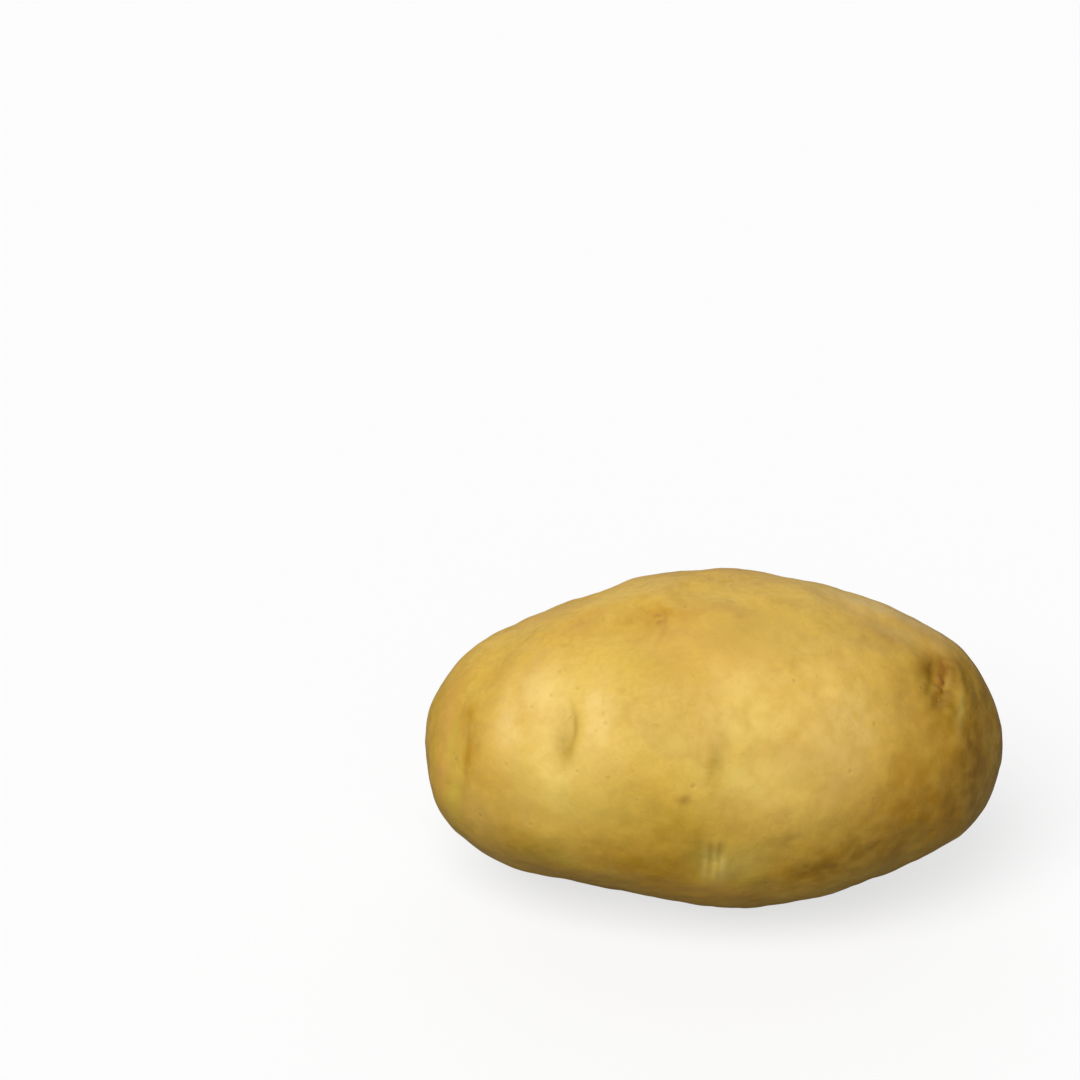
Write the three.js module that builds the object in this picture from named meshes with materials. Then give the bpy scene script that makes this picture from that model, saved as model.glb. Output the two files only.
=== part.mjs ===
// A raw potato: one long oval tuber, with shallow eyes under curved brows and the scar where it
// hung on its stolon. It grew as one piece, so it is one solid.
// Millimetres, +Z up. The tuber lies along X: +X is its stem end, -X its rose end, and -Y its front.
// The origin is on the surface that it lies on, under the middle of its box.
import * as THREE from "three";
import { mergeVertices } from "three/addons/utils/BufferGeometryUtils.js";

// Driving dimensions: the box of the finished tuber as it lies
const length = 105;
const width = 68;
const height = 58;
const restDepth = 1.3; // how much of the belly is pressed flat where the tuber lies
const restEase = 0.45; // half the height over which the flat turns into the belly
const facesAlongEdge = 28; // squares along each edge of the cube that is blown up into the tuber

const halfSize = new THREE.Vector3(length, width, height + restDepth).divideScalar(2);

// A place on the skin: along runs from -1 at the rose end to 1 at the stem end, and around is in
// degrees about the tuber's length, from 0 at the front over 90 on top to 180 at the back.

// Broad swellings and hollows. reach is the radius of one, and rise its height, below 0 for a hollow.
const swellings = [
  { name: "shoulder towards the rose end", along: -0.5, around: 112, reach: 22, rise: -1.3 },
  { name: "crown", along: -0.12, around: 112, reach: 20, rise: 1.2 },
  { name: "high cheek of the rose end", along: -0.88, around: 118, reach: 12, rise: 1.1 },
  { name: "low cheek of the rose end", along: -0.85, around: -48, reach: 18, rise: 2.6 },
  { name: "flank under the rose end", along: -0.36, around: -54, reach: 17, rise: -1.9 },
  { name: "flank under the stem end", along: 0.6, around: -64, reach: 15, rise: -0.6 },
  { name: "low cheek of the stem end", along: 0.86, around: -42, reach: 14, rise: 1.1 },
  { name: "hollow above the heel eye", along: 0.5, around: 78, reach: 14, rise: -1.3 },
  { name: "high cheek of the stem end", along: 0.84, around: 108, reach: 13, rise: 1.2 },
  { name: "dent beside the heel eye", along: 0.6, around: 45, reach: 6, rise: -0.5 },
  { name: "front", along: -0.1, around: 5, reach: 28, rise: 0.8 },
  { name: "back", along: 0.3, around: 172, reach: 28, rise: 1.4 },
  { name: "back of the rose end", along: -0.55, around: 200, reach: 20, rise: 1.0 },
  { name: "back of the stem end", along: 0.78, around: 212, reach: 18, rise: -1.5 },
];

// Eyes: each is a lid, the brow left by a scale leaf, that rises slowly from the stem side and drops
// into a hollow on the rose side. span is the length of the lid, and turn leans it, in degrees.
const eyes = [
  { name: "crease at the rose end", along: -0.87, around: 22, span: 19, depth: 0.5, brow: 0.3, turn: 0 },
  { name: "front eye", along: -0.515, around: 36, span: 12, depth: 1, brow: 0.45, turn: -4 },
  { name: "faint front eye", along: -0.045, around: 24, span: 11, depth: 0.4, brow: 0.2, turn: -6 },
  { name: "low front eye", along: -0.035, around: -11, span: 10, depth: 0.6, brow: 0.35, turn: 0 },
  { name: "heel eye", along: 0.77, around: 63, span: 14, depth: 1.6, brow: 0.7, turn: -14 },
  { name: "top eye", along: -0.205, around: 79, span: 12, depth: 0.75, brow: 0.4, turn: 5 },
  { name: "upper back eye", along: 0.32, around: 136, span: 12, depth: 0.9, brow: 0.4, turn: -8 },
  { name: "upper rose eye", along: -0.62, around: 140, span: 11, depth: 0.9, brow: 0.4, turn: 8 },
  { name: "back eye", along: 0.02, around: 172, span: 13, depth: 1.2, brow: 0.6, turn: 0 },
  { name: "back rose eye", along: -0.78, around: 176, span: 11, depth: 1.0, brow: 0.5, turn: -10 },
  { name: "low back eye", along: 0.56, around: 208, span: 12, depth: 0.9, brow: 0.5, turn: 10 },
  { name: "under eye", along: -0.42, around: 232, span: 11, depth: 0.8, brow: 0.4, turn: 0 },
  { name: "low heel eye", along: 0.58, around: -84, span: 10, depth: 0.8, brow: 0.4, turn: 6 },
  { name: "low rose eye", along: -0.88, around: -92, span: 10, depth: 0.8, brow: 0.4, turn: 0 },
  { name: "crown eye", along: -0.965, around: 172, span: 10, depth: 1.1, brow: 0.5, turn: 0 },
];

// The scar of the stolon: a round pit with the dried stub in it.
const stolonScar = { along: 0.985, around: 165 };
const pitRadius = 3.8;
const pitDepth = 1.5;
const stubRadius = 1.5;
const stubHeight = 0.9;

// The form of every eye, as shares of its span
const lidCurve = 0.55; // how far the lid curves round the hollow
const lidShift = 0.1; // how far the middle of the lid lies towards the stem end
const lidEase = 0.09; // how softly the lid drops
const browWidth = 0.32;
const hollowWidth = 0.32;
const hollowShift = 0.1; // from the lid to the deepest line of the hollow
const eyeReach = 0.42; // how far an eye goes on along its lid
const eyeThickness = 0.5; // keeps an eye off the far side of the tuber

// The unit direction of a place, and its point and normal on the plain oval.
function directionAt({ along, around }) {
  const turn = THREE.MathUtils.degToRad(around);
  const ring = Math.sqrt(1 - along * along);
  return new THREE.Vector3(along, -ring * Math.cos(turn), ring * Math.sin(turn));
}

function ovalPoint(direction) {
  return direction.clone().multiply(halfSize);
}

function ovalNormal(direction) {
  return direction.clone().divide(halfSize).normalize();
}

// A place with its point, its normal, the way across the tuber and the way to the rose end.
function frameAt(place) {
  const direction = directionAt(place);
  const normal = ovalNormal(direction);
  const across = new THREE.Vector3(1, 0, 0).cross(normal).normalize();
  across.applyAxisAngle(normal, THREE.MathUtils.degToRad(place.turn ?? 0));
  const toRose = across.clone().cross(normal);
  return { ...place, direction, point: ovalPoint(direction), normal, across, toRose };
}

const bell = (distance, radius) => Math.exp(-((distance / radius) ** 2));

// How far a point of the plain oval is raised by one swelling, one eye or the scar.
function raisedBySwelling(point, swelling) {
  return swelling.rise * bell(point.distanceTo(swelling.point), swelling.reach);
}

function raisedByEye(point, eye) {
  const offset = point.clone().sub(eye.point);
  const across = offset.dot(eye.across) / eye.span;
  const lidLine = lidCurve * across * across - lidShift;
  const fromLid = offset.dot(eye.toRose) / eye.span - lidLine;
  const lid = 1 / (1 + Math.exp(fromLid / lidEase));
  const brow = eye.brow * lid * bell(fromLid, browWidth);
  const hollow = eye.depth * (1 - lid) * bell(fromLid - hollowShift, hollowWidth);
  const nearby = bell(across, eyeReach) * bell(offset.dot(eye.normal), eyeThickness * eye.span);
  return (brow - hollow) * nearby;
}

function raisedByScar(point, scar) {
  const distance = point.distanceTo(scar.point);
  return stubHeight * bell(distance, stubRadius) - pitDepth * bell(distance, pitRadius);
}

// Directions are drawn towards the eyes, so that more of the faces lie where the small forms are.
function drawnToEyes(direction, places) {
  const pull = 0.55;
  const reach = 0.19;
  const drawn = direction.clone();
  for (const place of places) {
    const toPlace = place.direction.clone().sub(direction);
    drawn.addScaledVector(toPlace, pull * bell(toPlace.length(), reach));
  }
  return drawn.normalize();
}

// The height of a point above the surface that the tuber lies on, with the belly pressed flat.
function settledHeight(level) {
  const above = level + halfSize.z - restDepth;
  if (above > restEase) return above;
  if (above < -restEase) return 0;
  return (above + restEase) ** 2 / (4 * restEase);
}

// A ball of squares with its vertices merged: a cube whose points are moved out onto the ball.
function squareBall() {
  const cube = new THREE.BoxGeometry(2, 2, 2, facesAlongEdge, facesAlongEdge, facesAlongEdge);
  cube.deleteAttribute("normal");
  cube.deleteAttribute("uv");
  const ball = mergeVertices(cube);
  const position = ball.getAttribute("position");
  const even = (side) => Math.tan((side * Math.PI) / 4); // keeps the squares alike on the ball
  const point = new THREE.Vector3();
  for (let i = 0; i < position.count; i += 1) {
    point.fromBufferAttribute(position, i);
    point.set(even(point.x), even(point.y), even(point.z)).normalize();
    position.setXYZ(i, point.x, point.y, point.z);
  }
  return ball;
}

// Splits each square along the diagonal that folds it least.
function splitSquares(geometry) {
  const position = geometry.getAttribute("position");
  const corners = geometry.getIndex().array;
  const pointOf = (i) => new THREE.Vector3().fromBufferAttribute(position, i);
  const normalOf = (i, j, k) => {
    return new THREE.Triangle(pointOf(i), pointOf(j), pointOf(k)).getNormal(new THREE.Vector3());
  };
  for (let i = 0; i < corners.length; i += 6) {
    const [a, b, d, , c] = corners.slice(i, i + 6); // the square a, b, c, d comes as a, b, d and b, c, d
    const likenessAcrossBD = normalOf(a, b, d).dot(normalOf(b, c, d));
    const likenessAcrossAC = normalOf(a, b, c).dot(normalOf(a, c, d));
    if (likenessAcrossAC > likenessAcrossBD) {
      corners.set([a, b, c, a, c, d], i);
    }
  }
}

// The swellings move the outermost points a little, so the tuber is brought back to its box.
function fitToBox(geometry) {
  geometry.computeBoundingBox();
  const middle = geometry.boundingBox.getCenter(new THREE.Vector3());
  const size = geometry.boundingBox.getSize(new THREE.Vector3());
  geometry.translate(-middle.x, -middle.y, 0);
  geometry.scale(length / size.x, width / size.y, height / size.z);
}

function tuberGeometry() {
  const swellingFrames = swellings.map(frameAt);
  const eyeFrames = eyes.map(frameAt);
  const scarFrame = frameAt(stolonScar);
  const geometry = squareBall();
  const position = geometry.getAttribute("position");
  const onBall = new THREE.Vector3();
  for (let i = 0; i < position.count; i += 1) {
    onBall.fromBufferAttribute(position, i);
    const direction = drawnToEyes(onBall, [...eyeFrames, scarFrame]);
    const point = ovalPoint(direction);
    let rise = raisedByScar(point, scarFrame);
    for (const swelling of swellingFrames) {
      rise += raisedBySwelling(point, swelling);
    }
    for (const eye of eyeFrames) {
      rise += raisedByEye(point, eye);
    }
    const skin = point.clone().addScaledVector(ovalNormal(direction), rise);
    position.setXYZ(i, skin.x, skin.y, settledHeight(skin.z));
  }
  splitSquares(geometry);
  fitToBox(geometry);
  geometry.computeVertexNormals();
  return geometry;
}

function skinMaterial() {
  return new THREE.MeshStandardMaterial({ color: 0xd2aa55, roughness: 0.55, metalness: 0 });
}

function potato() {
  const group = new THREE.Group();
  const tuber = new THREE.Mesh(tuberGeometry(), skinMaterial());
  tuber.name = "potato";
  group.add(tuber);
  return group;
}

export default potato();
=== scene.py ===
# A raw potato on a pale studio floor.
# Metres, +Z up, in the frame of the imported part: +X is the stem end, -X the rose end, -Y the front.
import math

import bpy
import numpy as np
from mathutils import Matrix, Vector


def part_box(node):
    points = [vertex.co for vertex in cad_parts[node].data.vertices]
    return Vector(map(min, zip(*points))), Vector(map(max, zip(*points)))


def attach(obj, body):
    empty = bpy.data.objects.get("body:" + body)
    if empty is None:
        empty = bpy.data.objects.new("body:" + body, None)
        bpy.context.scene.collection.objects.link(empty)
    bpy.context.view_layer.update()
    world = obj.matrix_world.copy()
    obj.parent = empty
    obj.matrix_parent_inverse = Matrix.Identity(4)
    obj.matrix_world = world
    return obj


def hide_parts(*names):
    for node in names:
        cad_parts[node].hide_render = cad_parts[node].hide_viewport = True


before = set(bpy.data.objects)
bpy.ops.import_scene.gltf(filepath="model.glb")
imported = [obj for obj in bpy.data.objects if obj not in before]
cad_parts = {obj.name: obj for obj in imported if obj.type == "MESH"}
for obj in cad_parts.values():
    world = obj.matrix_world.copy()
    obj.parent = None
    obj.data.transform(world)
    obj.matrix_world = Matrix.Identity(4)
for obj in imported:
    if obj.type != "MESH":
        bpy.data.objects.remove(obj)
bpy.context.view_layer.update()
mm = 0.001
print("frame loaded")


# Camera

# The camera stands where the photo was taken from. Pixels are counted in the photo's square frame.
cameraView = {
    "photoSide": 1080,
    "tuberLong": 575,             # pixels from end to end of its box
    "tuberMiddle": (712, 734.6),  # the pixel that shows the middle of its box
    "distance": 0.6,
    "lookDown": 25.5,             # degrees
    "sensor": 36.0,               # millimetres across
}


def makeCamera():
    low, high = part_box("potato")
    down = math.radians(cameraView["lookDown"])
    ahead = Vector((0, math.cos(down), -math.sin(down)))
    up = Vector((0, math.sin(down), math.cos(down)))
    right = Vector((1, 0, 0))
    focal = cameraView["tuberLong"] / (high.x - low.x) * cameraView["distance"]  # in pixels
    half = cameraView["photoSide"] / 2
    column, row = cameraView["tuberMiddle"]
    toTuber = ahead + right * (column - half) / focal - up * (row - half) / focal
    data = bpy.data.cameras.new("camera")
    data.sensor_width = cameraView["sensor"]
    data.lens = focal * cameraView["sensor"] / cameraView["photoSide"]
    camera = bpy.data.objects.new("camera", data)
    camera.location = (low + high) / 2 - toTuber.normalized() * cameraView["distance"]
    camera.rotation_euler = (math.radians(90) - down, 0, 0)
    bpy.context.scene.collection.objects.link(camera)
    bpy.context.scene.camera = camera


makeCamera()
print("camera made")


# Shape of the tuber

tuber = {
    "squaresAlongEdge": 127,   # on each side of the cube that is blown up into the tuber
    "restDepth": 1.3 * mm,     # how much of the belly is pressed flat
    "restEase": 0.45 * mm,     # half the height over which the flat turns into the belly
    "pull": 0.55,              # how strongly the squares gather at the eyes
    "pullReach": 0.19,
    "quietBelly": 3.0 * mm,    # fine relief fades out below this height
}

# A place on the skin: along runs from -1 at the rose end to 1 at the stem end, and around is in
# degrees about the length, from 0 at the front over 90 on top to 180 at the back.

# Broad swellings and hollows: along, around, radius and rise, below 0 for a hollow.
swellings = {
    "shoulder towards the rose end": (-0.5, 112, 22 * mm, -1.3 * mm),
    "crown": (-0.12, 112, 20 * mm, 1.2 * mm),
    "high cheek of the rose end": (-0.88, 118, 12 * mm, 1.1 * mm),
    "low cheek of the rose end": (-0.85, -48, 18 * mm, 2.6 * mm),
    "flank under the rose end": (-0.36, -54, 17 * mm, -1.9 * mm),
    "flank under the stem end": (0.6, -64, 15 * mm, -0.6 * mm),
    "low cheek of the stem end": (0.86, -42, 14 * mm, 1.1 * mm),
    "hollow above the heel eye": (0.5, 78, 14 * mm, -1.3 * mm),
    "high cheek of the stem end": (0.84, 108, 13 * mm, 1.2 * mm),
    "dent beside the heel eye": (0.6, 45, 6 * mm, -0.5 * mm),
    "front": (-0.1, 5, 28 * mm, 0.8 * mm),
    "back": (0.3, 172, 28 * mm, 1.4 * mm),
    "back of the rose end": (-0.55, 200, 20 * mm, 1.0 * mm),
    "back of the stem end": (0.78, 212, 18 * mm, -1.5 * mm),
}

# Eyes: along, around, span of the lid, depth of the hollow, height of the brow, lean in degrees, buds.
eyes = {
    "crease at the rose end": (-0.87, 22, 19 * mm, 0.5 * mm, 0.3 * mm, 0, 0),
    "front eye": (-0.515, 36, 12 * mm, 1.0 * mm, 0.45 * mm, -4, 0),
    "faint front eye": (-0.045, 24, 11 * mm, 0.4 * mm, 0.2 * mm, -6, 0),
    "low front eye": (-0.035, -11, 10 * mm, 0.6 * mm, 0.35 * mm, 0, 0),
    "heel eye": (0.77, 63, 14 * mm, 1.6 * mm, 0.7 * mm, -14, 2),
    "top eye": (-0.205, 79, 12 * mm, 0.75 * mm, 0.4 * mm, 5, 2),
    "upper back eye": (0.32, 136, 12 * mm, 0.9 * mm, 0.4 * mm, -8, 2),
    "upper rose eye": (-0.62, 140, 11 * mm, 0.9 * mm, 0.4 * mm, 8, 1),
    "back eye": (0.02, 172, 13 * mm, 1.2 * mm, 0.6 * mm, 0, 3),
    "back rose eye": (-0.78, 176, 11 * mm, 1.0 * mm, 0.5 * mm, -10, 2),
    "low back eye": (0.56, 208, 12 * mm, 0.9 * mm, 0.5 * mm, 10, 2),
    "under eye": (-0.42, 232, 11 * mm, 0.8 * mm, 0.4 * mm, 0, 1),
    "low heel eye": (0.58, -84, 10 * mm, 0.8 * mm, 0.4 * mm, 6, 1),
    "low rose eye": (-0.88, -92, 10 * mm, 0.8 * mm, 0.4 * mm, 0, 1),
    "crown eye": (-0.965, 172, 10 * mm, 1.1 * mm, 0.5 * mm, 0, 3),
}

# The form of every eye, as shares of its span
eyeForm = {
    "lidCurve": 0.55,        # how far the lid curves round the hollow
    "lidShift": 0.1,         # how far the middle of the lid lies towards the stem end
    "lidEase": 0.065,        # how softly the lid drops
    "lidLimit": 40,          # of the exponent that shapes it, past which nothing changes
    "browWidth": 0.32,
    "hollowWidth": 0.32,
    "hollowShift": 0.1,
    "reach": 0.42,           # how far an eye goes on along its lid
    "thickness": 0.5,        # keeps an eye off the far side of the tuber
    "creaseWidth": 0.05,
    "creaseDepth": 0.3,      # of the hollow's depth
    "wrinkleLength": 0.17,   # from one wrinkle to the next
    "wrinkleHeight": 0.05,   # of the hollow's depth
    "wrinkleReach": 0.45,    # from the lid
    "budRadius": 0.055,
    "budHeight": 0.35,       # of the hollow's depth
    "budSpacing": 0.17,
    "budShift": 0.12,        # from the lid into the hollow
    "darkDepth": 1.6 * mm,   # an eye this deep is as dark as any
}

# The scar of the stolon at the stem end
stolonScar = {
    "place": (0.985, 165),
    "pitRadius": 3.8 * mm,
    "pitDepth": 1.5 * mm,
    "stubRadius": 1.5 * mm,
    "stubHeight": 0.9 * mm,
    "rays": 9,
    "rayHeight": 0.16 * mm,
    "rimRadius": 4.9 * mm,
    "rimWidth": 1.1 * mm,
    "rimHeight": 0.25 * mm,
}

# Fine relief of the skin: (size of a form, its height, seed)
fineRelief = {
    "lumps": (17 * mm, 0.16 * mm, 11),
    "dimples": (6.5 * mm, 0.055 * mm, 12),
    "grain": (2.6 * mm, 0.016 * mm, 13),
}
waveForm = {"count": 28, "lengths": (0.7, 1.4)}  # the lengths are shares of the size of a form

# Pits at seeded places: radius and depth are ranges
pits = {"count": 110, "radius": (0.7 * mm, 1.3 * mm), "depth": (0.06 * mm, 0.2 * mm), "seed": 21}


def bell(distance, radius):
    # 1 at no distance, then falling off as e to the minus square of distance over radius
    return np.exp(-(distance / radius) ** 2)


def ballOfSquares(count):
    # Six grids, one for each side of a cube. On a side both parameters run over whole numbers from 0 to
    # count, and a point is the tangent of pi/4 times its place from -1 to 1, brought to length 1.
    # Points that two sides share are one vertex, so there is no seam.
    first, second = np.meshgrid(np.arange(count + 1), np.arange(count + 1), indexing="ij")
    low, high = np.zeros_like(first), np.full_like(first, count)
    sides = [
        (first, second, high), (second, first, low),
        (high, first, second), (low, second, first),
        (second, high, first), (first, low, second),
    ]
    lattice = np.stack([np.stack(side, axis=-1) for side in sides]).reshape(-1, 3)
    code = lattice @ np.array([1, count + 1, (count + 1) ** 2])
    _, kept, vertex = np.unique(code, return_index=True, return_inverse=True)
    grid = vertex.reshape(6, count + 1, count + 1)
    corners = (grid[:, :-1, :-1], grid[:, 1:, :-1], grid[:, 1:, 1:], grid[:, :-1, 1:])
    points = np.tan((lattice[kept] * 2 / count - 1) * np.pi / 4)
    points /= np.linalg.norm(points, axis=1)[:, None]
    return points, np.stack(corners, axis=-1).reshape(-1, 4)


def directionAt(along, around):
    turn = math.radians(around)
    ring = math.sqrt(1 - along * along)
    return np.array([along, -ring * math.cos(turn), ring * math.sin(turn)])


def ovalNormal(direction, halfSize):
    slope = direction / halfSize
    return slope / np.linalg.norm(slope, axis=-1, keepdims=True)


def placeOn(oval, place, lean=0):
    # A place with its direction, point, normal, the way across the tuber and the way to the rose end.
    direction = directionAt(*place)
    normal = ovalNormal(direction, oval)
    across = np.cross([1, 0, 0], normal)
    across /= np.linalg.norm(across)
    turn = math.radians(lean)
    across = across * math.cos(turn) + np.cross(normal, across) * math.sin(turn)
    return {
        "direction": direction,
        "point": direction * oval,
        "normal": normal,
        "across": across,
        "toRose": np.cross(across, normal),
    }


def drawnTo(directions, places):
    # Each direction moves towards each place by a share that falls off as a bell of the distance.
    drawn = directions.copy()
    for place in places:
        toPlace = place["direction"] - directions
        distance = np.linalg.norm(toPlace, axis=1)[:, None]
        drawn += toPlace * tuber["pull"] * bell(distance, tuber["pullReach"])
    return drawn / np.linalg.norm(drawn, axis=1)[:, None]


def waves(points, size, seed):
    # A smooth random field: the sum of plane waves about one size long, with seeded directions and phases.
    count = waveForm["count"]
    random = np.random.default_rng(seed)
    direction = random.normal(size=(count, 3))
    direction /= np.linalg.norm(direction, axis=1)[:, None]
    length = size * random.uniform(*waveForm["lengths"], count)
    phase = random.uniform(0, 2 * np.pi, count)
    angle = points @ (direction * (2 * np.pi / length)[:, None]).T + phase
    return np.cos(angle).sum(axis=1) / math.sqrt(count / 2)


def eyeParts(points, eye, place):
    # The relief of one eye and its masks. fromLid is the distance past the lid, as a share of the span:
    # the brow rises as a bell up to the lid, and past it the skin drops into the hollow, a second bell.
    # A fine crease runs under the lid, wrinkles are a cosine of fromLid, and each bud is a bell.
    _, _, span, depth, brow, _, buds = eye
    offset = points - place["point"]
    across = offset @ place["across"] / span
    fromLid = offset @ place["toRose"] / span - eyeForm["lidCurve"] * across ** 2 + eyeForm["lidShift"]
    nearby = bell(across, eyeForm["reach"]) * bell(offset @ place["normal"], eyeForm["thickness"] * span)
    limit = eyeForm["lidLimit"]
    lid = 1 / (1 + np.exp(np.clip(fromLid / eyeForm["lidEase"], -limit, limit)))
    browPart = lid * bell(fromLid, eyeForm["browWidth"]) * nearby
    hollow = (1 - lid) * bell(fromLid - eyeForm["hollowShift"], eyeForm["hollowWidth"]) * nearby
    crease = bell(fromLid - eyeForm["creaseWidth"] / 2, eyeForm["creaseWidth"]) * nearby
    wrinkles = np.cos(2 * np.pi * fromLid / eyeForm["wrinkleLength"])
    wrinkles *= bell(fromLid, eyeForm["wrinkleReach"]) * nearby
    budPart = np.zeros(len(points))
    for number in range(buds):
        side = (number - (buds - 1) / 2) * eyeForm["budSpacing"]
        away = np.hypot(across - side, fromLid - eyeForm["budShift"])
        budPart = np.maximum(budPart, bell(away, eyeForm["budRadius"]) * nearby)
    relief = brow * browPart - depth * hollow
    relief -= depth * eyeForm["creaseDepth"] * crease
    relief += depth * eyeForm["wrinkleHeight"] * wrinkles
    relief += depth * eyeForm["budHeight"] * budPart
    # Painted shade: the deeper the eye, the darker its hollow and crease
    darkness = min(depth / eyeForm["darkDepth"], 1)
    masks = {"brow": browPart, "hollow": hollow * darkness, "crease": crease * darkness, "bud": budPart}
    return relief, masks


def scarParts(points, place):
    # A round pit with the stub in its middle and a low rim, and rays: a cosine of the angle about the pit.
    offset = points - place["point"]
    distance = np.linalg.norm(offset, axis=1)
    angle = np.arctan2(offset @ place["across"], offset @ place["toRose"])
    pit = bell(distance, stolonScar["pitRadius"])
    stub = bell(distance, stolonScar["stubRadius"])
    rim = bell(distance - stolonScar["rimRadius"], stolonScar["rimWidth"])
    relief = stolonScar["stubHeight"] * stub - stolonScar["pitDepth"] * pit
    relief += stolonScar["rimHeight"] * rim
    relief += stolonScar["rayHeight"] * np.cos(stolonScar["rays"] * angle) * pit * (1 - stub)
    return relief, {"scarPit": pit, "scarStub": stub, "scarRim": rim}


def pitRelief(points, oval):
    # Shallow round pits at seeded places, each a bell.
    random = np.random.default_rng(pits["seed"])
    relief = np.zeros(len(points))
    for _ in range(pits["count"]):
        centre = random.normal(size=3)
        centre *= oval / np.linalg.norm(centre)
        radius = random.uniform(*pits["radius"])
        depth = random.uniform(*pits["depth"])
        relief -= depth * bell(np.linalg.norm(points - centre, axis=1), radius)
    return relief


def settled(level, floorLevel):
    # The height above the floor, with what would lie below it pressed flat and a short parabola between.
    ease = tuber["restEase"]
    above = level - floorLevel
    eased = (above + ease) ** 2 / (4 * ease)
    return np.where(above > ease, above, np.where(above < -ease, 0, eased))


def raisedParts(points, oval, eyePlaces, scarPlace):
    # How far the scar, the swellings and the eyes rise from the oval, and the masks of scar and eyes
    rise, masks = scarParts(points, scarPlace)
    for along, around, radius, height in swellings.values():
        away = np.linalg.norm(points - directionAt(along, around) * oval, axis=1)
        rise += height * bell(away, radius)
    for eye, place in zip(eyes.values(), eyePlaces):
        relief, parts = eyeParts(points, eye, place)
        rise += relief
        for name, part in parts.items():
            masks[name] = np.maximum(masks.get(name, 0), part)
    return rise, masks


def tuberSurface():
    # Points of the oval are raised along its normals, the belly is pressed flat, the whole is fitted to
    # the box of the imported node, and the fine relief is added along the same normals.
    low, high = (np.array(corner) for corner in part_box("potato"))
    size = high - low
    oval = (size + np.array([0, 0, tuber["restDepth"]])) / 2
    directions, squares = ballOfSquares(tuber["squaresAlongEdge"])
    eyePlaces = [placeOn(oval, (along, around), lean) for along, around, _, _, _, lean, _ in eyes.values()]
    scarPlace = placeOn(oval, stolonScar["place"])
    directions = drawnTo(directions, [*eyePlaces, scarPlace])
    points = directions * oval
    normals = ovalNormal(directions, oval)
    rise, masks = raisedParts(points, oval, eyePlaces, scarPlace)
    surface = points + normals * rise[:, None]
    surface[:, 2] = settled(surface[:, 2], tuber["restDepth"] - oval[2])
    lowest, highest = surface.min(axis=0), surface.max(axis=0)
    scale = size / (highest - lowest)
    surface = (surface - lowest) * scale + low
    fine = pitRelief(points, oval)
    for length, height, seed in fineRelief.values():
        fine += height * waves(points, length, seed)
    fine *= np.clip(surface[:, 2] / tuber["quietBelly"], 0, 1)
    surface += normals * fine[:, None]
    return surface, squares, {**masks, **toneMasks(points, oval), **endMasks(points, oval)}


def makeTuber():
    surface, squares, masks = tuberSurface()
    mesh = bpy.data.meshes.new("potato_tuber")
    mesh.from_pydata(surface.tolist(), [], squares.tolist())
    mesh.polygons.foreach_set("use_smooth", np.ones(len(squares), bool))
    for name, values in masks.items():
        attribute = mesh.attributes.new(name, "FLOAT", "POINT")
        attribute.data.foreach_set("value", values.astype(np.float32))
    mesh.update()
    piece = bpy.data.objects.new("potato_tuber", mesh)
    bpy.context.scene.collection.objects.link(piece)
    return piece


# Tones of the marks. Each covers those above it.
toneColours = {
    "pink": (0.58, 0.320, 0.080, 1),
    "gold": (0.58, 0.300, 0.012, 1),
    "green": (0.56, 0.410, 0.050, 1),
    "pale": (0.70, 0.450, 0.100, 1),
    "cream": (0.78, 0.550, 0.190, 1),
    "straw": (0.74, 0.540, 0.130, 1),
    "grey": (0.60, 0.440, 0.165, 1),
    "dun": (0.40, 0.230, 0.042, 1),
    "rust": (0.44, 0.215, 0.006, 1),
    "olive": (0.33, 0.205, 0.010, 1),
    "brown": (0.21, 0.098, 0.005, 1),
    "red": (0.26, 0.090, 0.010, 1),
    "beige": (0.70, 0.500, 0.120, 1),
}
tones = list(toneColours)
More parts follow.
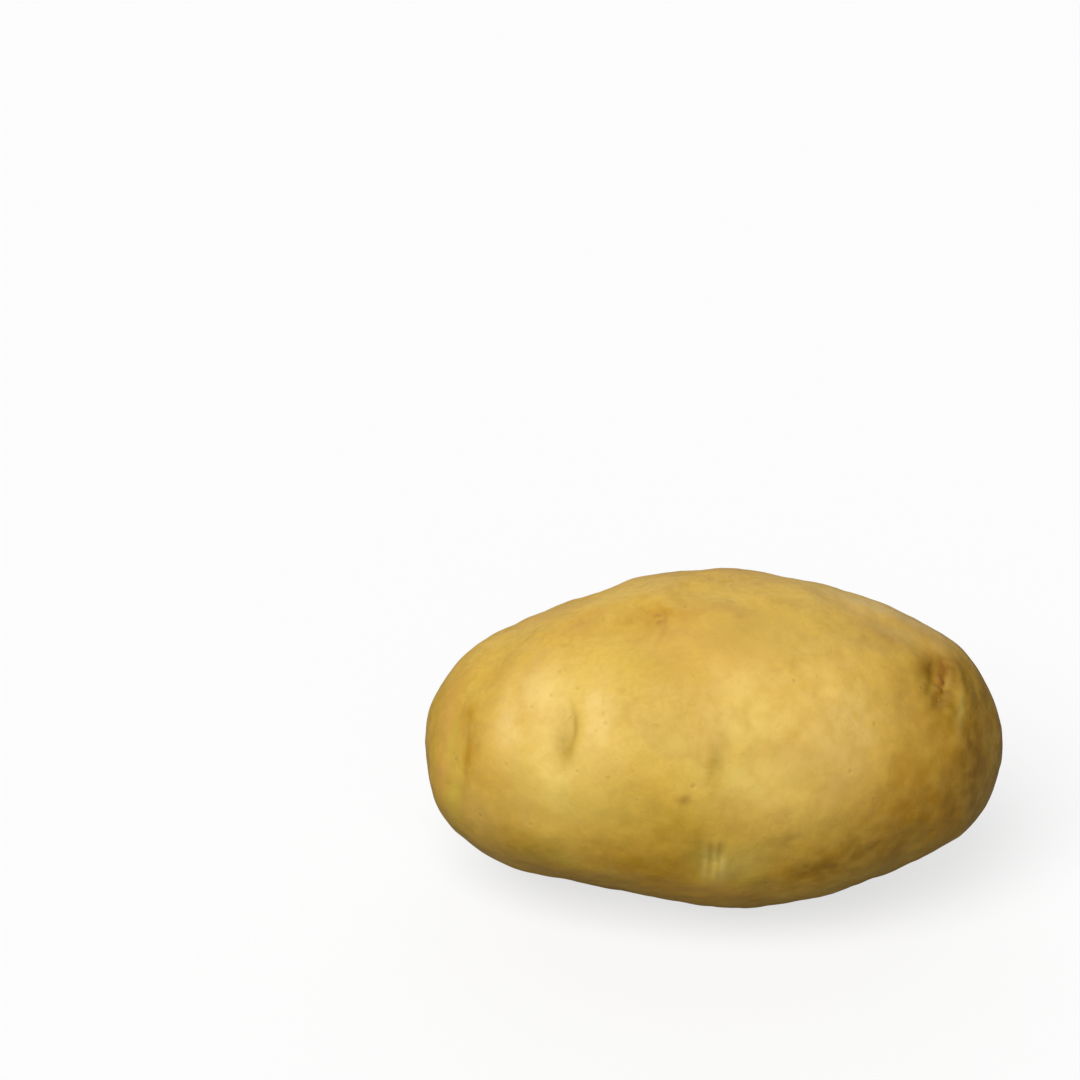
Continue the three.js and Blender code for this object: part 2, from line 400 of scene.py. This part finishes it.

# Marks of the skin, some of them painted highlights and painted shade: tone, along, around, how far each
# reaches along the tuber and across it, lean in degrees, and strength
marks = {
    # Painted shade along the furrow of the rose crease.
    "painted shade in the rose crease furrow": ("rust", -0.84, 24, 1.8 * mm, 3.6 * mm, 0, 1.0),
    "dark dot of the rose crease": ("rust", -0.845, 47, 1.6 * mm, 2.2 * mm, 0, 0.8),
    "shade past the rose crease": ("dun", -0.815, 24, 2.2 * mm, 18 * mm, 0, 0.5),
    "pale rim of the rose end": ("pink", -0.925, 42, 2.2 * mm, 9 * mm, 0, 0.7),
    "green wisp at the rose end": ("green", -0.905, 28, 1.6 * mm, 4 * mm, 0, 0.8),
    "green strip at the rose end": ("green", -0.885, -13, 2 * mm, 5 * mm, 0, 1.0),
    "pink low at the rose end": ("pink", -0.925, 6, 1.6 * mm, 4 * mm, 0, 0.8),
    "speckle below the crease": ("pale", -0.79, -10, 4 * mm, 4 * mm, 0, 0.7),
    "rust under the crease": ("rust", -0.725, 14, 6 * mm, 5 * mm, 0, 0.35),
    # The cream and straw marks round the front eye are partly paler skin and partly a painted highlight of
    # the light from the upper left.
    "painted highlight left of the front eye": ("cream", -0.6, 51, 6 * mm, 8 * mm, 0, 0.75),
    "painted highlight before the crease": ("cream", -0.71, 36, 3.5 * mm, 12 * mm, 0, 0.65),
    "painted highlight right of the front eye": ("cream", -0.415, 42, 3 * mm, 8 * mm, 0, 0.6),
    "shade of the front eye": ("olive", -0.53, 28.5, 2 * mm, 3.2 * mm, 10, 0.85),
    "painted highlight under the front eye": ("straw", -0.57, 16, 8 * mm, 8 * mm, 0, 1.0),
    "painted highlight on the front of the rose end": ("straw", -0.47, 8, 10 * mm, 5 * mm, 0, 0.7),
    "painted highlight over the one under the front eye": ("cream", -0.63, 32, 6 * mm, 7 * mm, 0, 0.35),
    "shade low at the rose end": ("olive", -0.63, -19, 8 * mm, 4.5 * mm, 0, 0.7),
    "shade above the pale front": ("dun", -0.73, 2, 6 * mm, 5 * mm, 0, 0.35),
    "orange streak by the top eye": ("gold", -0.41, 90, 9 * mm, 2.5 * mm, 8, 0.5),
    "rust by the top eye": ("rust", -0.24, 80, 8 * mm, 5 * mm, 0, 0.7),
    "shade of the upper front": ("dun", -0.21, 53, 9 * mm, 8 * mm, 0, 0.3),
    "pink brow of the middle": ("pink", -0.03, 67, 14 * mm, 5 * mm, 0, 0.6),
    # Partly paler skin, partly a painted sheen that carries the highlight across the middle.
    "painted sheen of the middle": ("pale", 0.28, 52, 17 * mm, 16 * mm, 0, 0.65),
    "painted sheen left of the middle": ("cream", 0.08, 52, 7 * mm, 4 * mm, 0, 0.35),
    "painted sheen right of the middle": ("cream", 0.41, 36, 9 * mm, 11 * mm, 0, 0.5),
    "painted sheen over the faint eye": ("straw", 0.09, 38, 7 * mm, 6 * mm, 0, 0.6),
    "shade of the faint eye": ("olive", -0.03, 23, 1.6 * mm, 6 * mm, -8, 0.75),
    "olive patch of the front": ("olive", -0.24, 3, 16 * mm, 6 * mm, -6, 0.55),
    "shade over the middle": ("dun", 0.05, 70, 12 * mm, 6 * mm, 0, 0.3),
    "green over the middle": ("green", 0.12, 70, 9 * mm, 5 * mm, 0, 0.35),
    "green left of the middle": ("green", -0.19, 31, 8 * mm, 7 * mm, 0, 0.4),
    "green above the front eye": ("green", -0.32, 58, 5 * mm, 5 * mm, 0, 0.35),
    # Partly paler skin, partly a painted highlight.
    "painted highlight over the front eye": ("straw", -0.55, 50, 6 * mm, 6 * mm, 0, 0.35),
    "shade right of the middle": ("dun", 0.21, 24, 5 * mm, 5 * mm, 0, 0.2),
    # Darker and browner low on the front: painted shade.
    "brown and painted shade low on the front": ("brown", 0.42, -7, 6 * mm, 4.5 * mm, 0, 0.45),
    "small dark spot": ("brown", -0.13, 12.3, 1.2 * mm, 0.8 * mm, 0, 0.8),
    "bright spot of the front": ("straw", 0.11, 18, 9 * mm, 6 * mm, 0, 0.8),
    "tan patch of the front": ("pink", 0.22, 24, 5 * mm, 4 * mm, 0, 0.5),
    "bright spot before the heel": ("pale", 0.35, 15, 6 * mm, 4.5 * mm, 0, 0.6),
    "green of the low eye": ("green", -0.035, -13, 4.5 * mm, 5 * mm, 0, 1.0),
    "straw beside the low eye": ("straw", 0.04, -13, 5 * mm, 3.5 * mm, 0, 0.4),
    "first streak of the low eye": ("beige", -0.058, -14, 0.6 * mm, 4 * mm, 0, 1.0),
    "second streak of the low eye": ("beige", -0.029, -14, 0.6 * mm, 4.4 * mm, 0, 1.0),
    "third streak of the low eye": ("beige", -0.001, -14, 0.6 * mm, 4 * mm, 0, 1.0),
    "first line between the streaks": ("olive", -0.044, -10, 0.5 * mm, 3.4 * mm, 0, 0.6),
    "second line between the streaks": ("olive", -0.015, -10, 0.5 * mm, 3.4 * mm, 0, 0.6),
    "first dark spot of the low eye": ("brown", -0.042, -5, 0.6 * mm, 1.1 * mm, 0, 0.6),
    "second dark spot of the low eye": ("brown", -0.01, -5, 0.8 * mm, 1.2 * mm, 0, 0.9),
    "shade above the low eye": ("olive", -0.085, 0.7, 1.8 * mm, 1.8 * mm, 0, 0.7),
    "pink under the low eye": ("pink", -0.037, -28, 7 * mm, 2.2 * mm, 0, 1.0),
    # Painted shade along the underside, which the floor lights little.
    "painted shade of the underside": ("gold", -0.05, -30, 50 * mm, 9 * mm, 0, 0.6),
    "green dot of the underside": ("green", -0.526, -21.6, 2.4 * mm, 1.6 * mm, 0, 0.7),
    "green right of the low eye": ("green", 0.07, -17, 6 * mm, 4 * mm, 0, 0.7),
    "gold low on the front": ("gold", 0.36, -15, 11 * mm, 6 * mm, 0, 0.7),
    # Darker and browner towards the underside: painted shade.
    "rust and painted shade of the underside": ("rust", -0.25, -16, 9 * mm, 6 * mm, 0, 0.8),
    "rust and painted shade below": ("rust", 0.28, -21, 9 * mm, 4 * mm, 0, 0.8),
    "brown and painted shade below": ("brown", 0.36, -20, 7 * mm, 5 * mm, 0, 0.7),
    "painted shade left of the low eye": ("olive", -0.24, -13.5, 4.5 * mm, 3.5 * mm, 0, 0.6),
    "brown before the low heel": ("brown", 0.5, -1, 12 * mm, 13 * mm, 0, 0.28),
    "dark foot of the low heel": ("brown", 0.46, -14, 5 * mm, 6 * mm, 0, 0.6),
    "dark edge of the low heel": ("brown", 0.55, -20, 5 * mm, 4 * mm, 0, 0.5),
    "rust before the low heel": ("rust", 0.66, -2, 8 * mm, 12 * mm, 0, 1.0),
    # Painted shade where the skin turns away from the light before the heel.
    "painted shade before the heel": ("dun", 0.65, 37, 4 * mm, 19 * mm, 0, 0.8),
    "dun under the heel eye": ("dun", 0.71, 39, 3.5 * mm, 5 * mm, 0, 1.0),
    "dun above the heel eye": ("dun", 0.57, 81, 8 * mm, 5 * mm, 0, 0.85),
    "grey above the heel eye": ("grey", 0.66, 88, 6 * mm, 3 * mm, 0, 0.5),
    # Partly russet skin, partly painted shade of the end turned away from the light.
    "dun and painted shade of the heel": ("dun", 0.8, 44, 8 * mm, 22 * mm, 0, 0.8),
    "rust and painted shade of the heel": ("rust", 0.8, 44, 8 * mm, 24 * mm, 0, 0.65),
    "brown and painted shade of the heel": ("brown", 0.86, 17, 5 * mm, 12 * mm, 0, 0.85),
    "brown low on the heel": ("brown", 0.79, -2, 4 * mm, 7 * mm, 0, 0.5),
    "rust of the low heel": ("rust", 0.72, -9, 8 * mm, 9 * mm, 0, 1.0),
    "brown at the tip of the heel": ("brown", 0.92, 68, 3 * mm, 8 * mm, 0, 0.6),
    # Painted shade past the heel eye.
    "painted shade past the heel eye": ("olive", 0.85, 70, 4 * mm, 7 * mm, 0, 0.8),
    "dun beside the heel eye": ("dun", 0.71, 50, 3.5 * mm, 9 * mm, 0, 0.5),
    "dark top of the heel eye": ("brown", 0.73, 72, 1.8 * mm, 3 * mm, -14, 1.0),
    "red of the heel eye": ("red", 0.766, 66, 1 * mm, 4.6 * mm, -14, 1.0),
    "dark foot of the heel eye": ("brown", 0.755, 51, 2.6 * mm, 4 * mm, -10, 0.8),
    "olive of the heel eye": ("olive", 0.75, 55, 3 * mm, 6 * mm, -10, 1.0),
    "upper end of the heel eye": ("brown", 0.735, 77, 1 * mm, 2 * mm, -14, 0.6),
    "dark side of the heel eye": ("brown", 0.783, 58, 1.3 * mm, 2.4 * mm, -14, 0.9),
    "brown past the heel eye": ("brown", 0.8, 74, 3 * mm, 5 * mm, -14, 1.0),
    "brown behind the pale rim": ("brown", 0.865, 49, 2.6 * mm, 8 * mm, -10, 0.8),
    "pale rim of the heel eye": ("beige", 0.815, 49, 1 * mm, 4 * mm, -10, 0.6),
    "pale line of the heel eye": ("beige", 0.79, 67, 0.6 * mm, 2.2 * mm, -14, 0.25),
    "grey over the heel eye": ("grey", 0.77, 88, 3.5 * mm, 4 * mm, 0, 0.8),
    "grey rim on top of the heel": ("grey", 0.62, 106, 14 * mm, 3 * mm, -14, 1.0),
    "pale edge of the crown": ("pale", 0.5, 101, 7 * mm, 4 * mm, 0, 0.6),
}

# Marks of the back and the underside, at seeded places and of seeded tones: each pair is a range
strayMarks = {
    "count": 46,
    "around": (120, 325),
    "along": (-0.97, 0.97),
    "size": (2 * mm, 8 * mm),
    "strength": (0.25, 0.7),
    "lean": (-30, 30),
    "seed": 31,
}


def maskName(tone):
    return "tone" + tone.capitalize()


def scatteredMarks():
    random = np.random.default_rng(strayMarks["seed"])
    scattered = []
    for _ in range(strayMarks["count"]):
        around = random.uniform(*strayMarks["around"])
        along = random.uniform(*strayMarks["along"])
        long, wide = random.uniform(*strayMarks["size"], 2)
        strength = random.uniform(*strayMarks["strength"])
        tone = tones[random.integers(len(tones))]
        lean = random.uniform(*strayMarks["lean"])
        scattered.append((tone, along, around, long, wide, lean, strength))
    return scattered


def toneMasks(points, oval):
    # Each mark is a long bell on the skin. Where marks of one tone meet, the stronger one holds.
    masks = {maskName(tone): np.zeros(len(points)) for tone in tones}
    for tone, along, around, long, wide, lean, strength in [*marks.values(), *scatteredMarks()]:
        place = placeOn(oval, (along, around), lean)
        offset = points - place["point"]
        away = np.hypot(offset @ place["toRose"] / long, offset @ place["across"] / wide)
        mark = strength * bell(away, 1) * bell(offset @ place["normal"], max(long, wide))
        masks[maskName(tone)] = np.maximum(masks[maskName(tone)], mark)
    return masks


endShades = {"stemEnd": (1, 0.55), "roseEnd": (-1, 0.6)}  # way along, and how far out the shade begins


def endMasks(points, oval):
    # From 0 where the shade begins to 1 at the tip, squared
    along = points[:, 0] / oval[0]
    masks = {}
    for name, (way, start) in endShades.items():
        masks[name] = np.clip((way * along - start) / (1 - start), 0, 1) ** 2
    return masks


# Node helpers

def addNode(tree, kind, inputs=None, **settings):
    node = tree.nodes.new(kind)
    for name, value in settings.items():
        setattr(node, name, value)
    for key, value in (inputs or {}).items():
        if isinstance(value, bpy.types.NodeSocket):
            tree.links.new(value, node.inputs[key])
        else:
            node.inputs[key].default_value = value
    return node


def calculate(tree, operation, first, second, clamp=False):
    node = addNode(tree, "ShaderNodeMath", {0: first, 1: second}, operation=operation, use_clamp=clamp)
    return node.outputs[0]


def mixColours(tree, share, under, over):
    # The Mix node names its sockets alike for every kind of value, so its colours go by number.
    return addNode(tree, "ShaderNodeMix", {"Factor": share, 6: under, 7: over}, data_type="RGBA").outputs[2]


def ramp(tree, value, low, high, bottom=0.0, top=1.0):
    inputs = {"Value": value, "From Min": low, "From Max": high, "To Min": bottom, "To Max": top}
    return addNode(tree, "ShaderNodeMapRange", inputs, interpolation_type="SMOOTHSTEP").outputs[0]


def newGroup(name, inputs, outputs):
    group = bpy.data.node_groups.new(name, "ShaderNodeTree")
    for way, sockets in {"INPUT": inputs, "OUTPUT": outputs}.items():
        for label, kind in sockets.items():
            group.interface.new_socket(name=label, in_out=way, socket_type="NodeSocket" + kind)
    return group, group.nodes.new("NodeGroupInput").outputs, group.nodes.new("NodeGroupOutput").inputs


def useGroup(tree, group, inputs):
    return addNode(tree, "ShaderNodeGroup", inputs, node_tree=group).outputs


# Blotches of a given size, soft or sharp: noise between two levels
def makeBlotches():
    group, given, result = newGroup(
        "blotches",
        {"Place": "Vector", "Size": "Float", "Detail": "Float", "Twist": "Float", "Low": "Float",
         "High": "Float"},
        {"Mask": "Float"},
    )
    scale = calculate(group, "DIVIDE", 1.0, given["Size"])
    look = {"Detail": given["Detail"], "Distortion": given["Twist"]}
    noise = addNode(group, "ShaderNodeTexNoise", {"Vector": given["Place"], "Scale": scale, **look})
    mask = ramp(group, noise.outputs["Fac"], given["Low"], given["High"])
    group.links.new(mask, result["Mask"])
    return group


dotForm = {
    "sizes": (0.3, 1.2),      # of the smallest and the largest, as shares of the radius asked for
    "edge": (1.3, 0.3),       # where a dot begins and where it is full, as shares of its own radius
    "rimEdge": (2.6, 1.0),    # the same for the rim round it
    "wobble": 0.4 * mm,       # how far noise shifts it, so that it isn't round
    "wobbleScale": 900.0,
    "wobbleDetail": 2.0,
}


# Dots at random places, no two alike: where the nearest cell point is closer than the radius
def makeDots():
    group, given, result = newGroup(
        "dots",
        {"Place": "Vector", "Spacing": "Float", "Radius": "Float"},
        {"Mask": "Float", "Rim": "Float"},
    )
    place, reach = given["Place"], dotForm["wobble"]
    scale = calculate(group, "DIVIDE", 1.0, given["Spacing"])
    noise = {"Vector": place, "Scale": dotForm["wobbleScale"], "Detail": dotForm["wobbleDetail"]}
    wobble = addNode(group, "ShaderNodeTexNoise", noise).outputs["Color"]
    scaled = {0: wobble, 1: (reach, reach, reach)}
    shift = addNode(group, "ShaderNodeVectorMath", scaled, operation="MULTIPLY").outputs[0]
    moved = addNode(group, "ShaderNodeVectorMath", {0: place, 1: shift}, operation="ADD").outputs[0]
    cells = addNode(group, "ShaderNodeTexVoronoi", {"Vector": moved, "Scale": scale}).outputs
    away = calculate(group, "MULTIPLY", cells["Distance"], given["Spacing"])
    chance = addNode(group, "ShaderNodeSeparateColor", {"Color": cells["Color"]}).outputs["Red"]
    share = ramp(group, chance, 0.0, 1.0, *dotForm["sizes"])
    radius = calculate(group, "MULTIPLY", given["Radius"], share)
    ratio = calculate(group, "DIVIDE", away, radius)
    mask = ramp(group, ratio, *dotForm["edge"])
    ring = calculate(group, "SUBTRACT", ramp(group, ratio, *dotForm["rimEdge"]), mask, clamp=True)
    group.links.new(mask, result["Mask"])
    group.links.new(ring, result["Rim"])
    return group


stainNoise = {"low": 0.35, "high": 0.65, "detail": 4.0}


# A layer of tone over what is under it, broken up by noise, for stains and for painted highlights and shade
def makeToneLayer():
    group, given, result = newGroup(
        "stain",
        {"Place": "Vector", "Under": "Color", "Tone": "Color", "Amount": "Float", "Size": "Float",
         "Breakup": "Float"},
        {"Color": "Color"},
    )
    scale = calculate(group, "DIVIDE", 1.0, given["Size"])
    inputs = {"Vector": given["Place"], "Scale": scale, "Detail": stainNoise["detail"]}
    noise = addNode(group, "ShaderNodeTexNoise", inputs).outputs["Fac"]
    broken = ramp(group, noise, stainNoise["low"], stainNoise["high"])
    whole = calculate(group, "SUBTRACT", 1.0, given["Breakup"])
    kept = calculate(group, "ADD", calculate(group, "MULTIPLY", broken, given["Breakup"]), whole)
    share = calculate(group, "MULTIPLY", given["Amount"], kept, clamp=True)
    colour = mixColours(group, share, given["Under"], given["Tone"])
    group.links.new(colour, result["Color"])
    return group


# Skin

skin = {
    "colours": {
        **toneColours,
        "golden": (0.595, 0.360, 0.046, 1),
        "yellow": (0.640, 0.415, 0.068, 1),
        "tan": (0.540, 0.315, 0.052, 1),
        "eyeShade": (0.26, 0.140, 0.012, 1),
        "creaseShade": (0.13, 0.060, 0.008, 1),
        "bud": (0.31, 0.150, 0.036, 1),
        "scarRim": (0.50, 0.330, 0.100, 1),
        "scarStub": (0.30, 0.190, 0.070, 1),
        "pore": (0.30, 0.165, 0.022, 1),
        "freckle": (0.38, 0.210, 0.022, 1),
    },
    # Size, the levels of noise where a blotch begins and where it is full, detail and twist
    "blotches": {
        "patches": (26 * mm, 0.38, 0.66, 3.0, 0.0),
        "tanSpots": (11 * mm, 0.45, 0.72, 4.0, 0.4),
        "fineNet": (1.3 * mm, 0.40, 0.62, 5.0, 0.6),
        "scuffs": (5 * mm, 0.56, 0.70, 8.0, 1.2),
    },
    # Spacing and radius
    "dots": {
        "pores": (4.6 * mm, 0.42 * mm),
        "freckles": (2.1 * mm, 0.2 * mm),
    },
    # Pattern, colour and strength, each over the one before. The mottling lies under the stains, and the
    # speckling over them.
    "mottling": [
        ("patches", "yellow", 1.0),
        ("tanSpots", "tan", 1.0),
        ("fineNet", "freckle", 0.16),
        ("scuffs", "brown", 0.13),
    ],
    "speckling": [
        ("poresRim", "pale", 0.1),
        ("pores", "pore", 0.2),
        ("freckles", "freckle", 0.3),
    ],
    # Mask, colour, strength, size of the noise that breaks up the layer, and how much it breaks it up
    "shapeStainsAndShade": [
        # The ends darken towards their tips: partly brown skin, partly painted shade
        ("stemEnd", "brown", 0.7, 3 * mm, 0.6),
        ("roseEnd", "olive", 0.4, 3 * mm, 0.8),
        ("brow", "pale", 0.4, 2 * mm, 0.5),
        # Painted shade in the hollows and creases of the eyes
        ("hollow", "eyeShade", 0.45, 2 * mm, 0.6),
        ("crease", "creaseShade", 0.6, 3 * mm, 0.4),
        ("bud", "bud", 1.0, 1 * mm, 0.3),
        ("scarRim", "scarRim", 0.6, 1.5 * mm, 0.5),
        # Painted shade in the pit of the scar
        ("scarPit", "creaseShade", 1.0, 1.2 * mm, 0.3),
        ("scarStub", "scarStub", 1.0, 1 * mm, 0.3),
    ],
    "markLayering": (1.0, 3 * mm, 0.45),             # the last three of those values, for every mark
    "roughness": (0.48, 0.62),                    # of clean skin and of worn skin
    "wear": {"scuffs": 0.5, "fineNet": 0.5},
    "specular": 0.20,
    "coat": 0.02,
    "coatRoughness": 0.35,
    "grainSize": 0.55 * mm,
    "grainDetail": 3.0,
    "bumpHeight": 0.10 * mm,
    # Shares of the bump height, below 0 for a dip
    "bumps": {"grain": 0.22, "pores": -0.5, "poresRim": 0.1, "scuffs": -0.2, "fineNet": -0.15},
}


def skinPatterns(tree, place):
    # The blotches, dots and grain that the colour, the gloss and the bumps read
    blotches, dots = makeBlotches(), makeDots()
    patterns = {}
    for name, (size, low, high, detail, twist) in skin["blotches"].items():
        values = {"Place": place, "Size": size, "Low": low, "High": high, "Detail": detail, "Twist": twist}
        patterns[name] = useGroup(tree, blotches, values)["Mask"]
    for name, (spacing, radius) in skin["dots"].items():
        found = useGroup(tree, dots, {"Place": place, "Spacing": spacing, "Radius": radius})
        patterns[name] = found["Mask"]
        patterns[name + "Rim"] = found["Rim"]
    grain = {"Vector": place, "Scale": 1 / skin["grainSize"], "Detail": skin["grainDetail"]}
    patterns["grain"] = addNode(tree, "ShaderNodeTexNoise", grain).outputs["Fac"]
    return patterns


def skinColour(tree, place, patterns):
    # Mottling, then the ends, eyes and scar with their painted shade, then the marks, then the speckling
    colours = skin["colours"]
    # One group lays on the stains, the painted shade and the painted highlights alike
    stain = makeToneLayer()
    stains = list(skin["shapeStainsAndShade"])
    for tone in tones:
        stains.append((maskName(tone), tone, *skin["markLayering"]))

    def overlaid(under, layers):
        for pattern, name, strength in layers:
            share = calculate(tree, "MULTIPLY", patterns[pattern], strength)
            under = mixColours(tree, share, under, colours[name])
        return under

    colour = overlaid(colours["golden"], skin["mottling"])
    for mask, name, strength, size, breakup in stains:
        found = addNode(tree, "ShaderNodeAttribute", attribute_name=mask).outputs["Fac"]
        amount = calculate(tree, "MULTIPLY", found, strength)
        values = {"Under": colour, "Tone": colours[name], "Amount": amount, "Size": size, "Breakup": breakup}
        colour = useGroup(tree, stain, {"Place": place, **values})["Color"]
    return overlaid(colour, skin["speckling"])


def sumOf(tree, patterns, shares):
    total = 0.0
    for name, share in shares.items():
        total = calculate(tree, "ADD", total, calculate(tree, "MULTIPLY", patterns[name], share))
    return total


def makeSkin():
    material = bpy.data.materials.new("potato skin")
    material.use_nodes = True
    tree = material.node_tree
    shader = tree.nodes["Principled BSDF"]
    place = addNode(tree, "ShaderNodeTexCoord").outputs["Object"]
    patterns = skinPatterns(tree, place)
    tree.links.new(skinColour(tree, place, patterns), shader.inputs["Base Color"])
    # Waxy, and duller where the skin is worn
    smooth, dull = skin["roughness"]
    wear = sumOf(tree, patterns, skin["wear"])
    tree.links.new(ramp(tree, wear, 0.0, 1.0, smooth, dull), shader.inputs["Roughness"])
    shader.inputs["Specular IOR Level"].default_value = skin["specular"]
    shader.inputs["Coat Weight"].default_value = skin["coat"]
    shader.inputs["Coat Roughness"].default_value = skin["coatRoughness"]
    height = sumOf(tree, patterns, skin["bumps"])
    bump = addNode(tree, "ShaderNodeBump", {"Height": height, "Distance": skin["bumpHeight"]})
    tree.links.new(bump.outputs["Normal"], shader.inputs["Normal"])
    return material


potato = makeTuber()
potato.data.materials.append(makeSkin())
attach(potato, "root")
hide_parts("potato")
print("tuber made:", len(potato.data.polygons) * 2, "triangles")


# Studio

studio = {
    "floorSide": 40.0,
    "floorGlow": 0.70,     # the floor's own brightness to the camera, which keeps its shadow pale
    "floorPale": 0.25,     # how much light it sends to the camera
    "floorBounce": 0.23,   # how much light it sends back up to the tuber
    "sky": 0.03,           # light from all round
}

# Soft lights: degrees from the front (below 0 to the left), degrees above the floor, strength and
# degrees across
lights = {
    "key": (-30, 50, 3.1, 48),
    "front": (-8, 32, 0.76, 80),
    "back": (180, 36, 1.0, 80),
}


def grey(level):
    return (level, level, level, 1)


def makeFloor():
    half = studio["floorSide"] / 2
    mesh = bpy.data.meshes.new("floor")
    corners = [(-half, -half, 0), (half, -half, 0), (half, half, 0), (-half, half, 0)]
    mesh.from_pydata(corners, [], [(0, 1, 2, 3)])
    material = bpy.data.materials.new("floor")
    material.use_nodes = True
    tree = material.node_tree
    shader = tree.nodes["Principled BSDF"]
    seen = addNode(tree, "ShaderNodeLightPath").outputs["Is Camera Ray"]
    colour = mixColours(tree, seen, grey(studio["floorBounce"]), grey(studio["floorPale"]))
    glow = mixColours(tree, seen, grey(0), grey(studio["floorGlow"]))
    tree.links.new(colour, shader.inputs["Base Color"])
    tree.links.new(glow, shader.inputs["Emission Color"])
    shader.inputs["Emission Strength"].default_value = 1.0
    shader.inputs["Roughness"].default_value = 1.0
    shader.inputs["Specular IOR Level"].default_value = 0.0
    mesh.materials.append(material)
    floor = bpy.data.objects.new("floor", mesh)
    bpy.context.scene.collection.objects.link(floor)


def makeLight(name, side, height, strength, size):
    side, height = math.radians(side), math.radians(height)
    outward = math.cos(height)
    toLight = Vector((math.sin(side) * outward, -math.cos(side) * outward, math.sin(height)))
    data = bpy.data.lights.new(name, "SUN")
    data.energy = strength
    data.angle = math.radians(size)
    light = bpy.data.objects.new(name, data)
    light.rotation_mode = "QUATERNION"
    light.rotation_quaternion = toLight.to_track_quat("Z", "Y")
    bpy.context.scene.collection.objects.link(light)


def makeWorld():
    # Past the floor the camera sees the brightness that the lit floor has, so no edge shows between them.
    # A light gives the floor its strength times the sine of its height, over pi.
    onFloor = studio["sky"]
    for _, height, strength, _ in lights.values():
        onFloor += strength * math.sin(math.radians(height)) / math.pi
    world = bpy.data.worlds.new("studio")
    world.use_nodes = True
    tree = world.node_tree
    tree.nodes.clear()
    sky = addNode(tree, "ShaderNodeBackground", {"Color": grey(studio["sky"])})
    seenBeyond = grey(studio["floorGlow"] + studio["floorPale"] * onFloor)
    backdrop = addNode(tree, "ShaderNodeBackground", {"Color": seenBeyond})
    seen = addNode(tree, "ShaderNodeLightPath").outputs["Is Camera Ray"]
    mixed = addNode(tree, "ShaderNodeMixShader", {0: seen, 1: sky.outputs[0], 2: backdrop.outputs[0]})
    addNode(tree, "ShaderNodeOutputWorld", {"Surface": mixed.outputs[0]})
    bpy.context.scene.world = world


makeFloor()
for name, values in lights.items():
    makeLight(name, *values)
makeWorld()
bpy.context.scene.view_settings.view_transform = "Standard"
print("studio made")
